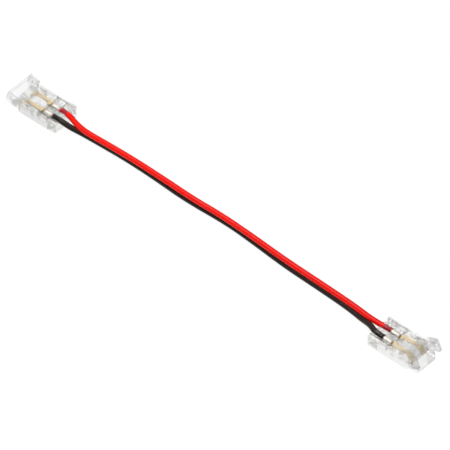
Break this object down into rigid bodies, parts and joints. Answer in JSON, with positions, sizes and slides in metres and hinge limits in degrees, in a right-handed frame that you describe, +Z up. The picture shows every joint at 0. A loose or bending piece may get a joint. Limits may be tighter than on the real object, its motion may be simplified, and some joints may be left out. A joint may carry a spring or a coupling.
{
  "type": "led strip connector",
  "caption": "Solderless jumper for LED strip: clear snap clips with hinged lids and brass spring contacts, joined by a red and black wire pair.",
  "frame": {"origin": "on the surface that the clips lie on, midway between them", "axes": "+X along the jumper towards the right clip's strip slot, +Y to the side of the red wire, +Z up"},
  "size_m": [0.2021, 0.0186, 0.0088],
  "materials": {
    "clear_polycarbonate": "polished mould",
    "brass_strip": "stamped",
    "copper_strands": "bare",
    "red_pvc": "extruded",
    "black_pvc": "extruded"
  },
  "bodies": {
    "jumper": {"housing_a": "clear_polycarbonate", "wire_cover_a": "clear_polycarbonate", "red_contact_a": "brass_strip", "black_contact_a": "brass_strip", "red_strands_a": "copper_strands", "black_strands_a": "copper_strands", "housing_b": "clear_polycarbonate", "wire_cover_b": "clear_polycarbonate", "red_contact_b": "brass_strip", "black_contact_b": "brass_strip", "red_strands_b": "copper_strands", "black_strands_b": "copper_strands", "red_wire": "red_pvc", "black_wire": "black_pvc"},
    "left_lid": {"lid_a": "clear_polycarbonate"},
    "right_lid": {"lid_b": "clear_polycarbonate"}
  },
  "joints": [
    {"name": "left_lid_hinge", "type": "hinge", "parent": "jumper", "child": "left_lid", "pos_m": [-0.09145, 0.0031, 0.0045], "axis": [0, 1, 0], "range_deg": [-16.5, 73.5]},
    {"name": "right_lid_hinge", "type": "hinge", "parent": "jumper", "child": "right_lid", "pos_m": [0.09145, -0.0031, 0.0045], "axis": [0, -1, 0], "range_deg": [-24, 66]}
  ]
}
